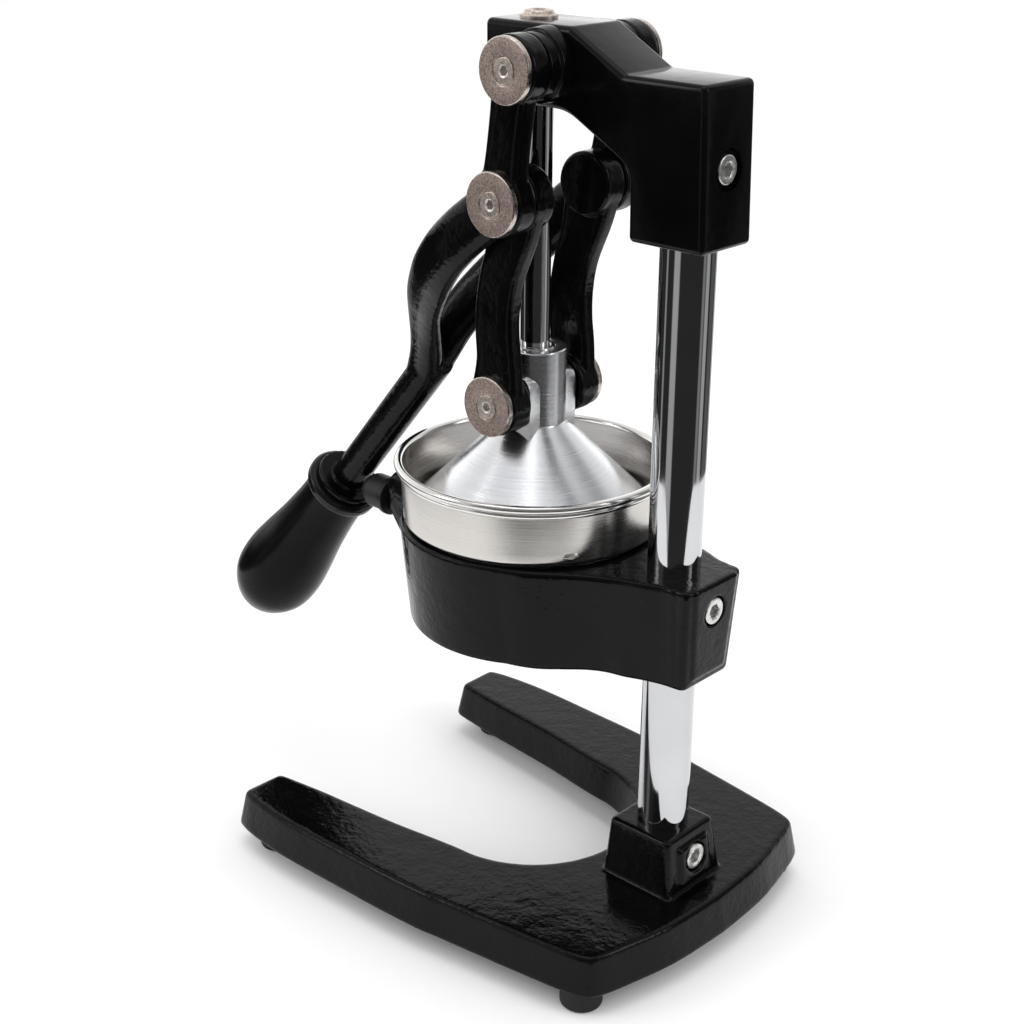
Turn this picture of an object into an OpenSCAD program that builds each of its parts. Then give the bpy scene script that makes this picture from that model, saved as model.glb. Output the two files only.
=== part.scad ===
/* [Assembly] */
// Distance from the middle of the footprint back to the column's axis
column_y = 136.26; // [120:0.01:150]
// Height of the press axis in front of the column (distance, column to press axis)
press_reach = 88; // [80:0.5:96]
// Radius of the column
column_r = 12.5; // [10:0.1:15]
// Height of the head's flat top above the base plate
head_top = 403; // [380:0.5:420]

/* [Base] */
// Thickness of the base plate
base_h = 20; // [14:0.5:26]
// Outward lean of the plate's walls between top and bottom
base_draft = 4; // [0:0.1:6]
// Rounding of the plate's top edge
base_round = 1.8; // [0.5:0.1:3]
// Radius of the round end of the base's cut-out
cutout_r = 55.8; // [45:0.2:62]
// Height of the socket block that holds the column
socket_h = 29; // [20:0.5:40]

/* [Feet] */
// Radius of a rubber foot
foot_r = 10.2; // [8:0.1:14]
// Height of a rubber foot
foot_h = 11; // [6:0.5:16]
// Radius of a foot screw's head
foot_screw_r = 4.2; // [3:0.1:5]

/* [Cup holder] */
// Height of the holder's lower face above the base plate
holder_bottom = 112; // [100:1:120]
// Height of the holder's upper face above the base plate
holder_top = 164; // [150:1:176]
// Outer radius of the ring at its top
ring_top_r = 66; // [64.5:0.5:70]
// Outer radius of the ring at its bottom
ring_bottom_r = 61; // [58:0.5:66]
// Inner radius of the ring's mouth
ring_mouth_r = 60; // [56:0.5:61]
// Inner radius of the ring at its lower edge
ring_hole_r = 55; // [48:0.5:56]

/* [Bumper] */
// Radius of the rubber bumper
bumper_r = 9.3; // [7:0.1:12]
// Length of the rubber bumper
bumper_l = 16.8; // [14:0.1:24]
// Height of the bumper's axis above the base plate
bumper_z = 147.3; // [140:0.1:155]

/* [Bowl] */
// Outer radius of the bowl's rim bead
bowl_rim_r = 68.2; // [62:0.1:72]
// Height of the bowl's rim above the base plate
bowl_rim_z = 195.8; // [185:0.1:205]
// Sheet thickness of the bowl
bowl_t = 1.2; // [0.8:0.1:2]
// Radius between the bowl's floor and its wall
bowl_corner = 2.8; // [2.2:0.1:4.5]
// Radius of the spout's lower end
spout_r = 13; // [8:0.5:18]

/* [Press] */
// Height of the press cone's tip above the base plate, taken along its flanks
cone_tip_z = 230.7; // [225:0.1:236]
// Radius of the press cone's rim
cone_rim_r = 59; // [52:0.5:61]
// Wall thickness of the press cone
cone_t = 4; // [3:0.1:6]
// Radius of the press cone's hub
hub_r = 15.2; // [12:0.1:18]
// Height of the hub's top face above the base plate
hub_top = 252; // [246:0.5:258]
// Radius of the guide rod
rod_r = 7.1; // [5:0.1:9]
// Radial running clearance of every turning or sliding fit
running_gap = 0.05; // [0.02:0.01:0.1]

/* [Lever and links] */
// Radius of the pivot pins
pin_r = 6; // [4:0.1:8]
// Radius of the lever's shaft
shaft_r = 9.6; // [8:0.1:12]
// Slope of the lever's shaft below level, in degrees
lever_slope = 50; // [45:0.5:56]
// Radius of a washer
washer_r = 14.5; // [11:0.1:16]
// Largest radius of the grip
grip_r = 24.5; // [20:0.5:28]
// Facets around each cast arm
arm_facets = 16; // [12:4:32]

/* [Hidden] */
$fn = 96;
floor_to_top = foot_h + base_h;
y_p = -press_reach;
z_a = 386.1;
y_a = -67.5;
z_b = 328;
y_b = -75.3;
z_c = 229;
y_c = y_p;
x_head = 17.5;
x_boss = 30.7;
x_lever_in = 31;
x_lever_out = 42.3;
x_washer = 45.2;
x_link_in = 18;
x_link_out = 30.7;
x_ear = 16.6;
arm_dir = [0, -0.643, -0.766];
arm_up = [0, -0.766, 0.643];
y_shaft = -163.2;
z_shaft = 220.4;
seat_gap = 0.3;

// ---------- helpers ----------

// Everything is drawn from the column's axis at the base plate's top face
module on_base() {
    translate([0, column_y, floor_to_top])
        children();
}

// A turned shape or a rod lying along X, starting at x
module along_x(x, y, z) {
    translate([x, y, z])
        rotate([0, 90, 0])
            children();
}

module both_sides() {
    children();
    mirror([1, 0, 0])
        children();
}

function cr(a, b, c, d, t) =
    0.5 * (2 * b + (c - a) * t + (2 * a - 5 * b + 4 * c - d) * t * t
        + (3 * b - a - 3 * c + d) * t * t * t);

// Smooth curve through points of any number of coordinates, k steps a span
function spline(p, k) = [
    for (i = [0 : len(p) - 2])
        for (j = [0 : k - 1])
            cr(p[max(i - 1, 0)], p[i], p[i + 1], p[min(i + 2, len(p) - 1)], j / k),
    p[len(p) - 1]
];

function signed_pow(v, e) = sign(v) * pow(abs(v), e);

// Rounded section about a centre, with half axes u and v
function section(c, u, v, n, e = 0.75) = [
    for (i = [0 : n - 1])
        let (a = 360 * (i + 0.5) / n)
            c + u * signed_pow(cos(a), e) + v * signed_pow(sin(a), e)
];

// Rounded rectangle at height z
function plate(x, y0, y1, r, z, n = 4) = [
    for (q = [0 : 3])
        for (i = [0 : n])
            let (a = 90 * q + 90 * i / n)
            let (sx = (q == 0 || q == 3) ? 1 : -1)
            let (sy = q < 2 ? 1 : -1)
                [
                    sx * (x - r) + r * cos(a),
                    (sy > 0 ? y1 - r : y0 + r) + r * sin(a),
                    z
                ]
];

// Closed solid through a row of rings that all have the same number of points
module skin(rings) {
    n = len(rings[0]);
    m = len(rings);
    h = floor(n / 2);
    last = (m - 1) * n;
    polyhedron(
        points = [for (r = rings) for (p = r) p],
        faces = concat(
            [for (i = [0 : h - 2]) [i, i + 1, n - 2 - i]],
            [for (i = [0 : h - 2]) [i, n - 2 - i, n - 1 - i]],
            [for (i = [0 : h - 2]) [last + i, last + n - 2 - i, last + i + 1]],
            [for (i = [0 : h - 2]) [last + i, last + n - 1 - i, last + n - 2 - i]],
            [for (j = [0 : m - 2]) for (i = [0 : n - 1])
                [j * n + i, (j + 1) * n + (i + 1) % n, j * n + (i + 1) % n]],
            [for (j = [0 : m - 2]) for (i = [0 : n - 1])
                [j * n + i, (j + 1) * n + i, (j + 1) * n + (i + 1) % n]]
        )
    );
}

// Hexagon-socket head on a shank, lying along +Y with its head's face outward
module socket_bolt(head_radius, head_l, shank_r, shank_l) {
    rotate([-90, 0, 0])
        difference() {
            union() {
                cylinder(r = head_radius, h = head_l);
                translate([0, 0, -shank_l])
                    cylinder(r = shank_r, h = shank_l + 0.5);
            }
            translate([0, 0, head_l - 3])
                cylinder(r = 3, h = 4, $fn = 6);
        }
}

// ---------- standing parts ----------

// One row per station of the right half: outer edge x, y and inner edge x, y
outline = spline([
    [93.4, -207, 73.6, -206.7], [95.3, -206.2, 71.7, -205.8],
    [96.5, -203.8, 70.6, -203], [98.5, -195, 69.2, -194],
    [100.3, -176, 66.6, -175], [100.5, -156, 64.7, -155],
    [99.6, -127, 61.6, -126], [98.7, -98, 57.6, -100],
    [97, -72, cutout_r, -86.3],
    for (a = [12, 25, 38, 50])
        [97.2 - a * 0.155, -75 + a * 1.12,
            cutout_r * cos(a), -86.3 + cutout_r * sin(a)],
    [86, 4, cutout_r * cos(62), -86.3 + cutout_r * sin(62)],
    [83.6, 16, cutout_r * cos(70), -86.3 + cutout_r * sin(70)],
    [80.9, 22.4, cutout_r * cos(75), -86.3 + cutout_r * sin(75)],
    [75.5, 25.2, cutout_r * cos(79), -86.3 + cutout_r * sin(79)],
    [65.5, 28, cutout_r * cos(82), -86.3 + cutout_r * sin(82)],
    [35, 34.5, cutout_r * cos(86), -86.3 + cutout_r * sin(86)],
    [0, 36.7, 0, -86.3 + cutout_r]
], 3);

function unit(v) = v / norm(v);
function side(p, q) = unit([(q - p)[1], -(q - p)[0]]);

// Vertical section of the plate at one station, m = -1 for the mirrored half
function base_ring(i, m) =
    let (s = outline[i])
    let (a = outline[max(i - 1, 0)])
    let (b = outline[min(i + 1, len(outline) - 1)])
    let (o = [s[0], s[1]])
    let (n = [s[2], s[3]])
    let (t = len(outline) - 1)
    let (u = i == 0 ? [0, -1] : i == t ? [0, 1] : side([a[0], a[1]], [b[0], b[1]]))
    let (v = i == 0 ? [0, -1] : i == t ? [0, -1] : -side([a[2], a[3]], [b[2], b[3]]))
    let (steps = [
        [base_draft, -base_h], [0.4, -base_round], [-0.5, -0.5 * base_round],
        [-1.2, -0.12 * base_round], [-base_round, 0]
    ])
    let (ring = concat(
        [for (k = steps) [n[0] + v[0] * k[0], n[1] + v[1] * k[0], k[1]]],
        [for (k = [4 : -1 : 0]) [
            o[0] + u[0] * steps[k][0], o[1] + u[1] * steps[k][0], steps[k][1]
        ]]
    ))
        [for (p = ring) [m * p[0], p[1], p[2]]];

module base() {
    last = len(outline) - 1;
    color("#1b1b1d")
        on_base()
            difference() {
                union() {
                    skin(concat(
                        [for (i = [0 : last]) base_ring(i, 1)],
                        [for (i = [last - 1 : -1 : 0]) base_ring(i, -1)]
                    ));
                    skin([
                        plate(23, -21, 22.5, 3, -5),
                        plate(21.4, -20, 21.4, 3, 0.6),
                        plate(18.1, -19.1, 17.6, 2.6, socket_h - 1.4),
                        plate(17.5, -18.5, 17, 2.4, socket_h - 0.4),
                        plate(16.6, -17.6, 16.1, 2.2, socket_h)
                    ]);
                    translate([0, 0, 4])
                        skin([
                            plate(12, 10, 23.2, 2, 0),
                            plate(11.4, 10, 20.4, 2, 19)
                        ]);
                }
                translate([0, 0, -base_h + 3])
                    cylinder(r = column_r, h = 60);
                translate([0, 10, 15.5])
                    rotate([-90, 0, 0])
                        cylinder(r = 4, h = 20);
                translate([0, 17.8, 15.5])
                    rotate([-90, 0, 0])
                        cylinder(r = 7.4, h = 8);
                for (x = [-1, 1])
                    for (p = [[76, 14], [85.5, -192]])
                        translate([x * p[0], p[1], -base_h - 1])
                            cylinder(r = 2.5, h = 13);
            }
}

module rubber_feet() {
    color("#202022")
        on_base()
            for (x = [-1, 1])
                for (p = [[76, 14], [85.5, -192]])
                    translate([x * p[0], p[1], -floor_to_top])
                        rotate_extrude()
                            polygon([
                                [5, 0], [foot_r - 2.6, 0], [foot_r - 1, 0.8],
                                [foot_r - 0.2, 2.4], [foot_r, 4], [foot_r, foot_h],
                                [2.5, foot_h], [2.5, 6], [5, 6]
                            ]);
}

module foot_screws() {
    color("#b9bbbd")
        on_base()
            for (x = [-1, 1])
                for (p = [[76, 14], [85.5, -192]])
                    translate([x * p[0], p[1], -floor_to_top])
                        difference() {
                            union() {
                                translate([0, 0, 3])
                                    cylinder(r = foot_screw_r, h = 3);
                                translate([0, 0, 5])
                                    cylinder(r = 2.5, h = 16);
                            }
                            translate([0, 0, 2])
                                cylinder(r = 1.6, h = 3, $fn = 6);
                        }
}

module column() {
    color("#d5d8da")
        on_base()
            translate([0, 0, -base_h + 3])
                cylinder(r = column_r, h = 378 + base_h - 3);
}

module base_bolt() {
    color("#c3c2bd")
        on_base()
            translate([0, 17.8, 15.5])
                socket_bolt(6.5, 3.6, 4, 5.2);
}

// Half-widths of the holder's neck at its top and bottom, by distance from the column
neck = spline([
    [16, 21.6, 18.2], [10, 22.2, 18.8], [1, 25.8, 21.2], [-8.4, 29, 24.8],
    [-17, 33.2, 27], [-25, 38, 31.2], [-34, 44.6, 39], [-42, 50.6, 46],
    [-50, 55.4, 50.4], [-60, 59.4, 53.8]
], 3);

function neck_ring(s) =
    let (t = holder_top)
    let (b = holder_bottom)
        [
            [-s[1] + 1.6, s[0], t], [-s[1] + 0.4, s[0], t - 0.5], [-s[1], s[0], t - 1.8],
            [-s[2], s[0], b + 1.8], [-s[2] + 0.5, s[0], b + 0.5], [-s[2] + 1.8, s[0], b],
            [s[2] - 1.8, s[0], b], [s[2] - 0.5, s[0], b + 0.5], [s[2], s[0], b + 1.8],
            [s[1], s[0], t - 1.8], [s[1] - 0.4, s[0], t - 0.5], [s[1] - 1.6, s[0], t]
        ];

module cup_holder() {
    color("#1b1b1d")
        on_base()
            difference() {
                union() {
                    translate([0, y_p, 0])
                        rotate_extrude()
                            polygon([
                                [0, holder_bottom],
                                [ring_bottom_r - 2, holder_bottom],
                                [ring_bottom_r, holder_bottom + 2],
                                [ring_top_r, holder_top - 2],
                                [ring_top_r - 0.4, holder_top - 0.6],
                                [ring_top_r - 1.6, holder_top],
                                [0, holder_top]
                            ]);
                    skin([for (s = neck) neck_ring(s)]);
                    skin([
                        plate(16.8, -5, 20.5, 3, holder_bottom),
                        plate(17.8, -5, 21.4, 3, holder_bottom + 1.4),
                        plate(21, -5, 23.9, 3, holder_top - 1.4),
                        plate(20.2, -5, 22.9, 3, holder_top)
                    ]);
                    skin([
                        plate(13, 5, 22.8, 2, holder_bottom + 5),
                        plate(16.4, 5, 25.3, 2, holder_top - 1.4),
                        plate(15.8, 5, 24.5, 2, holder_top)
                    ]);
                    skin([for (s = boss) section([0, s[0], (s[3] + s[4]) / 2],
                        [s[1], 0, 0], [0, 0, (s[4] - s[3]) / 2], arm_facets, 0.5)]);
                    translate([0, -156, bumper_z - 1.2])
                        rotate([90, 0, 0])
                            cylinder(r = 6.4, h = 31.2);
                }
                translate([0, y_p, 0])
                    rotate_extrude()
                        polygon([
                            [0, holder_bottom - 1], [ring_hole_r, holder_bottom - 1],
                            [ring_mouth_r, holder_top], [65.4, holder_top],
                            [65.4, holder_top + 4], [0, holder_top + 4]
                        ]);
                translate([0, 0, holder_bottom - 1])
                    cylinder(r = column_r, h = 60);
                translate([0, 10, 149])
                    rotate([-90, 0, 0])
                        cylinder(r = 4, h = 20);
                translate([0, 21.2, 149])
                    rotate([-90, 0, 0])
                        cylinder(r = 7.4, h = 6);
                translate([0, -175, bumper_z])
                    rotate([90, 0, 0])
                        cylinder(r = 3, h = 20);
            }
}

// Front boss of the holder: distance from the column, half-width, lowest, highest
boss = spline([
    [-150, 13, 0, 116, 165.6], [-160, 11.4, 0, 118, 166], [-170, 9.6, 0, 124, 166],
    [-178, 8.4, 0, 133, 165.6], [-183, 7.6, 0, 139, 163], [-186, 6.9, 0, 140.4, 158]
], 2);

module holder_bolt() {
    color("#c3c2bd")
        on_base()
            translate([0, 21.2, 149])
                socket_bolt(6.5, 3.2, 4, 8.6);
}

module bumper_stud() {
    color("#1a1a1b")
        on_base()
            translate([0, -187.2, bumper_z])
                rotate([90, 0, 0]) {
                    cylinder(r = 10.5, h = 3.4);
                    translate([0, 0, -12.2])
                        cylinder(r = 3, h = 13);
                    translate([0, 0, 3])
                        cylinder(r = 3, h = 9);
                }
}

module bumper_cap() {
    color("#3a393c")
        on_base()
            translate([0, -190.6, bumper_z])
                rotate([90, 0, 0])
                    rotate_extrude()
                        polygon([
                            [3, 0], [bumper_r + 0.2, 0], [bumper_r, 4],
                            [bumper_r, bumper_l - 7.1], [bumper_r - 0.8, bumper_l - 4],
                            [bumper_r - 2.6, bumper_l - 1.8], [bumper_r - 5.4, bumper_l - 0.4],
                            [0, bumper_l], [0, 8.6], [3, 8.6]
                        ]);
}

// Outer wall of the bowl from the hole in its floor up to its rim
seat_z = holder_top + seat_gap;
bowl_wall = concat(
    [[43, seat_z], [63.9 - bowl_corner, seat_z]],
    [for (a = [15 : 15 : 75])
        [63.9 - bowl_corner * (1 - sin(a)), seat_z + bowl_corner * (1 - cos(a))]],
    [[63.9, seat_z + bowl_corner], [64.2, 176], [64.5, 184], [64.7, 189]]
);

module juice_bowl() {
    n = len(bowl_wall) - 1;
    color("#cfccc8")
        on_base()
            translate([0, y_p, 0])
                rotate_extrude()
                    polygon(concat(
                        [for (p = bowl_wall) p],
                        [
                            [66.3, 189.4], [66.5, 190.6], [66.2, 191.8],
                            [67.6, 192.4], [bowl_rim_r, 193.8], [bowl_rim_r - 0.3, 195.1],
                            [bowl_rim_r - 1.6, bowl_rim_z], [65, bowl_rim_z],
                            [63.9, 195.1], [63.4, 192.5]
                        ],
                        [for (i = [n : -1 : n - 3])
                            [bowl_wall[i][0] - bowl_t, bowl_wall[i][1]]],
                        [for (a = [75 : -15 : 15]) [
                            63.9 - bowl_corner + (bowl_corner - bowl_t) * sin(a),
                            seat_z + bowl_corner - (bowl_corner - bowl_t) * cos(a)
                        ]],
                        [[63.9 - bowl_corner, seat_z + bowl_t], [43, seat_z + bowl_t]]
                    ));
}

module funnel() {
    color("#cfccc8")
        on_base()
            translate([0, y_p, 0])
                rotate_extrude()
                    polygon([
                        [46, seat_z], [46, seat_z - 1.1], [43.4, seat_z - 1.7], [40, 152],
                        [28, 134], [17, 118], [spout_r, 111], [spout_r, 88],
                        [spout_r - 1, 88], [spout_r - 1, 111.3], [16.2, 118.8],
                        [27, 134.8], [38.9, 152.4], [42.2, seat_z - 1.3], [43, seat_z]
                    ]);
}

module strainer_cone() {
    floor_z = seat_z + bowl_t;
    color("#c9c6c1")
        on_base()
            translate([0, y_p, 0])
                difference() {
                    rotate_extrude()
                        polygon([
                            [47, floor_z], [47, floor_z + 1.1], [42, floor_z + 1.4],
                            [38.5, 168.8], [33, 173.5], [22, 184], [9, 194], [4, 197],
                            [0, 197.9], [0, 196.6], [3.4, 195.7], [8, 193], [21, 182.9],
                            [31.9, 172.5], [37.4, 167.6], [41.6, floor_z]
                        ]);
                    for (k = [0 : 1])
                        for (i = [0 : 11])
                            rotate([0, 0, 30 * i + 15 * k])
                                translate([20 + 9 * k, 0, 168])
                                    cylinder(r = 1.9, h = 24, $fn = 24);
                }
}

// Side profile of the head: distance from the column and height
head_profile = [
    [-104.5, 369], [-103, 367.5], [-57, 367.5], [-47, 363], [-36, 356], [-26, 350.4],
    [-21.5, 345], [-20, 338], [-20, 317.2], [-19, 316], [19.2, 316], [20.3, 317.4],
    [18, 384.6], [16.6, 386], [-24.5, 386], [-31, 388.6], [-49, 400.4], [-55, 403],
    [-103, 403], [-104.5, 401.6]
];

module head() {
    color("#17171a")
        on_base()
            difference() {
                union() {
                    translate([-x_head, 0, 0])
                        rotate([90, 0, 90])
                            linear_extrude(height = 2 * x_head)
                                polygon(head_profile);
                    both_sides() {
                        along_x(x_head - 1, y_a, z_a)
                            cylinder(r = 16, h = 7.5);
                        along_x(x_head - 1, y_a, z_a)
                            cylinder(r = 14.7, h = x_boss - x_head + 1);
                    }
                }
                translate([0, 0, 300])
                    cylinder(r = column_r, h = 78);
                translate([0, 10, 350])
                    rotate([-90, 0, 0])
                        cylinder(r = 4, h = 20);
                translate([0, 14.6, 350])
                    rotate([-90, 0, 0])
                        cylinder(r = 9, h = 8);
                translate([0, y_p, 360])
                    cylinder(r = rod_r, h = 34);
                translate([0, y_p, 390])
                    cylinder(r = 3, h = 20);
                both_sides()
                    along_x(12, y_a, z_a)
                        cylinder(r = pin_r, h = 30);
            }
}

module head_bolt() {
    color("#c3c2bd")
        on_base()
            translate([0, 14.6, 350])
                socket_bolt(6.5, 4, 4, 2);
}

module guide_rod() {
    color("#d5d8da")
        on_base()
            translate([0, y_p, 0])
                difference() {
                    rotate_extrude()
                        polygon([
                            [0, 204], [rod_r - 1.2, 204], [rod_r, 205.2],
                            [rod_r, 394], [0, 394]
                        ]);
                    translate([0, 0, 378])
                        cylinder(r = 3, h = 20);
                }
}

module rod_screw() {
    color("#b5aea4")
        on_base()
            translate([0, y_p, head_top])
                difference() {
                    union() {
                        rotate_extrude()
                            polygon([
                                [0, 0], [8.2, 0], [8.2, 1.2], [6.6, 2.2],
                                [6.2, 3.8], [5.4, 4.4], [0, 4.4]
                            ]);
                        translate([0, 0, -24])
                            cylinder(r = 3, h = 25);
                    }
                    translate([0, 0, 1.6])
                        cylinder(r = 3, h = 4, $fn = 6);
                }
}

// Washer with a bevelled face and a raised centre ring, lying along +X
module washer(x0, x1) {
    along_x(x0, 0, 0)
        rotate_extrude()
            polygon([
                [3, 0], [washer_r - 0.4, 0], [washer_r, 0.4], [washer_r, x1 - x0 - 0.8],
                [washer_r - 0.9, x1 - x0], [6.2, x1 - x0], [5.6, x1 - x0 - 0.7], [3, x1 - x0 - 0.7]
            ]);
}

// Countersunk hexagon-socket screw that ends at x1
module pivot_screw(x1) {
    along_x(x1 - 12, 0, 0)
        difference() {
            union() {
                cylinder(r = 3, h = 11.3);
                translate([0, 0, 11.3])
                    cylinder(r = 5.2, h = 0.7);
            }
            translate([0, 0, 9])
                cylinder(r = 1.9, h = 4, $fn = 6);
        }
}

module head_pins() {
    color("#9a948c")
        on_base()
            both_sides()
                difference() {
                    along_x(12, y_a, z_a)
                        cylinder(r = pin_r, h = x_lever_out + 0.3 - 12);
                    along_x(30, y_a, z_a)
                        cylinder(r = 3, h = 20);
                }
}

module head_washers() {
    color("#8d867d")
        on_base()
            both_sides()
                translate([0, y_a, z_a])
                    washer(x_lever_out + 0.3, x_washer);
}

module head_pin_screws() {
    color("#a09a92")
        on_base()
            both_sides()
                translate([0, y_a, z_a])
                    pivot_screw(x_washer);
}

// ---------- press ----------

module press_cone() {
    rim_z = cone_tip_z - cone_rim_r;
    color("#dcdfe2")
        on_base()
            difference() {
                union() {
                    translate([0, y_p, 0])
                        rotate_extrude()
                            polygon([
                                [9.6, hub_top - 0.6], [9.6, 209], [14, 208],
                                [cone_rim_r - cone_t - 1.2, rim_z - 0.4],
                                [cone_rim_r - 2.2, rim_z - 0.6], [cone_rim_r - 0.6, rim_z - 0.2],
                                [cone_rim_r, rim_z + 1.2], [cone_rim_r - 1.2, rim_z + 2.2],
                                [hub_r + 1.6, cone_tip_z - hub_r - 1.6],
                                [hub_r + 0.3, cone_tip_z - hub_r + 1.2],
                                [hub_r, cone_tip_z - hub_r + 3],
                                [hub_r, hub_top - 0.9], [hub_r - 0.9, hub_top],
                                [10.4, hub_top]
                            ]);
                    both_sides()
                        translate([7, y_p, 0])
                            rotate([90, 0, 90])
                                linear_extrude(height = x_ear - 7)
                                    union() {
                                        translate([-12, cone_tip_z - 24])
                                            square([24, z_c + 4 - cone_tip_z + 24]);
                                        translate([-4, z_c])
                                            square([8, 12]);
                                        for (y = [-4, 4])
                                            translate([y, z_c + 4])
                                                circle(r = 8);
                                    }
                }
                translate([0, y_p, 200])
                    cylinder(r = 9.6, h = 60);
                translate([0, y_p, 0])
                    rotate_extrude()
                        polygon([
                            [0, 150], [cone_rim_r - 4, 150], [cone_rim_r - cone_t - 1.2, rim_z - 0.4],
                            [14, 208], [0, 208]
                        ]);
                both_sides()
                    along_x(10.2, y_c, z_c)
                        cylinder(r = pin_r + running_gap, h = 10);
            }
}

module hub_bush() {
    color("#b08d57")
        on_base()
            translate([0, y_p, 0])
                rotate_extrude()
                    polygon([
                        [rod_r + running_gap, 209], [9.6, 209], [9.6, hub_top + 0.4],
                        [9.2, hub_top + 0.8], [rod_r + running_gap, hub_top + 0.8]
                    ]);
}

// ---------- lever ----------

// Fork arm stations: distance down the arm, middle x, half width, offset, half depth
arm = spline([
    [-4, 36.65, 5.6, -1, 12.6], [8, 36.65, 5.65, 2.2, 13], [25, 36.65, 5.65, 6.6, 12.8],
    [38, 36.2, 5.9, 8.8, 12.8], [50, 34.8, 5.8, 10.2, 12.7], [65, 31.2, 5.8, 11, 12.8],
    [80, 25.3, 5.9, 11.3, 12.4], [90, 20.8, 6, 11, 12], [99, 16, 6.2, 9.8, 11.7],
    [110, 10.2, 6.8, 7, 11.2], [120, 6.2, 6.9, 3.4, 10.6], [130, 3.4, 6.8, 0.4, 9.9],
    [142, 1, 6.4, -1.7, 9]
], 2);

function arm_ring(s) =
    section([s[1], y_b, z_b] + arm_dir * s[0] + arm_up * s[3],
        [s[2], 0, 0], arm_up * s[4], arm_facets, 0.62);

// Places a turned shape on the shaft, measured down its axis
module on_shaft() {
    translate([0, y_shaft, z_shaft])
        rotate([90 + lever_slope, 0, 0])
            children();
}

module lever() {
    color("#1b1b1d")
        on_base()
            difference() {
                union() {
                    both_sides() {
                        skin([for (s = arm) arm_ring(s)]);
                        along_x(x_lever_in, y_b, z_b)
                            cylinder(r = 15.5, h = x_lever_out - x_lever_in);
                        along_x(x_lever_in, y_a, z_a)
                            cylinder(r = 15, h = x_lever_out - x_lever_in);
                        translate([x_lever_in, 0, 0])
                            rotate([90, 0, 90])
                                linear_extrude(height = x_lever_out - x_lever_in)
                                    polygon([
                                        [y_a - 13.4, z_a - 6], [y_a - 10.8, z_a - 15],
                                        [y_a - 11.4, z_a - 25], [y_b - 10.9, z_b + 20],
                                        [y_b - 14, z_b + 6], [y_b + 14.4, z_b + 4],
                                        [y_b + 10.8, z_b + 19], [y_a + 9, z_a - 26],
                                        [y_a + 9.4, z_a - 16], [y_a + 13.2, z_a - 6]
                                    ]);
                    }
                    on_shaft() {
                        translate([0, 0, -14])
                            cylinder(r = shaft_r, h = 108);
                        translate([0, 0, 92.5])
                            cylinder(r = 17.2, h = 4);
                    }
                }
                both_sides() {
                    along_x(x_lever_in - 1, y_b, z_b)
                        cylinder(r = pin_r, h = 20);
                    along_x(x_lever_in - 1, y_a, z_a)
                        cylinder(r = pin_r + running_gap, h = 20);
                }
                on_shaft()
                    translate([0, 0, 72])
                        cylinder(r = 5, h = 40);
            }
}

module grip_ferrule() {
    color("#151517")
        on_base()
            on_shaft()
                translate([0, 0, 96.5])
                    rotate_extrude()
                        polygon([
                            [5, 0], [18.6, 0], [20, 0.8], [20.6, 2.2], [20.6, 5.3],
                            [20, 6.9], [18.8, 7.5], [5, 7.5]
                        ]);
}

// Profile of the grip: distance down the axis and radius
grip_curve = spline([
    [104, 17.4], [112, 17.4], [125, 18], [145, 19.9], [165, 22.7], [182, grip_r],
    [197, 23.9], [208, 20], [216, 14.6], [222, 7], [224, 0]
], 3);

module grip() {
    color("#2b2a2c")
        on_base()
            on_shaft()
                rotate_extrude()
                    polygon(concat(
                        [[0, 200], [5, 200], [5, 104]],
                        [for (p = grip_curve) [max(p[1], 0), p[0]]]
                    ));
}

module grip_stud() {
    color("#b9bbbd")
        on_base()
            on_shaft()
                translate([0, 0, 72])
                    cylinder(r = 5, h = 128);
}

module lever_pins() {
    color("#9a948c")
        on_base()
            both_sides()
                difference() {
                    along_x(x_lever_in + 0.2, y_b, z_b)
                        cylinder(r = pin_r, h = x_lever_out - x_lever_in - 0.2);
                    along_x(x_washer - 12, y_b, z_b)
                        cylinder(r = 3, h = 20);
                }
}

module lever_washers() {
    color("#8d867d")
        on_base()
            both_sides()
                translate([0, y_b, z_b])
                    washer(x_lever_out, x_washer);
}

module lever_pin_screws() {
    color("#a09a92")
        on_base()
            both_sides()
                translate([0, y_b, z_b])
                    pivot_screw(x_washer);
}

// ---------- links ----------

// Edges of a link seen from the side, front edge down, then the back edge up
link_front = spline([
    [y_b - 14.9, z_b - 1.5], [-92.6, 306], [-96.4, 292], [-99, 278], [-99.6, 263],
    [-98.9, 250], [-101.6, 237]
], 3);
link_back = spline([
    [-74.2, 234], [-75.2, 250], [-76.8, 263], [-76.6, 276], [-73.9, 290],
    [-66, 309], [y_b + 14.9, z_b - 1.5]
], 3);

module link_body() {
    difference() {
        union() {
            translate([x_link_in + 3.4, 0, 0])
                rotate([90, 0, 90])
                    linear_extrude(height = x_link_out - x_link_in - 3.8)
                        polygon(concat(link_front, link_back));
            along_x(x_link_in, y_b, z_b)
                cylinder(r = 15, h = x_link_out - x_link_in);
            along_x(x_link_in, y_c, z_c)
                cylinder(r = 15, h = x_link_out - x_link_in);
        }
        along_x(x_link_in - 1, y_c, z_c)
            cylinder(r = pin_r, h = 20);
    }
}

module link_pin() {
    difference() {
        along_x(10.6, y_c, z_c)
            cylinder(r = pin_r, h = x_link_out - 10.6);
        along_x(21.8, y_c, z_c)
            cylinder(r = 3, h = 20);
    }
}

module link_left() {
    color("#1b1b1d")
        on_base()
            link_body();
}

module link_left_pin() {
    color("#9a948c")
        on_base()
            link_pin();
}

module link_left_washer() {
    color("#8d867d")
        on_base()
            translate([0, y_c, z_c])
                washer(x_link_out, 33.8);
}

module link_left_screw() {
    color("#a09a92")
        on_base()
            translate([0, y_c, z_c])
                pivot_screw(33.8);
}

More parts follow.
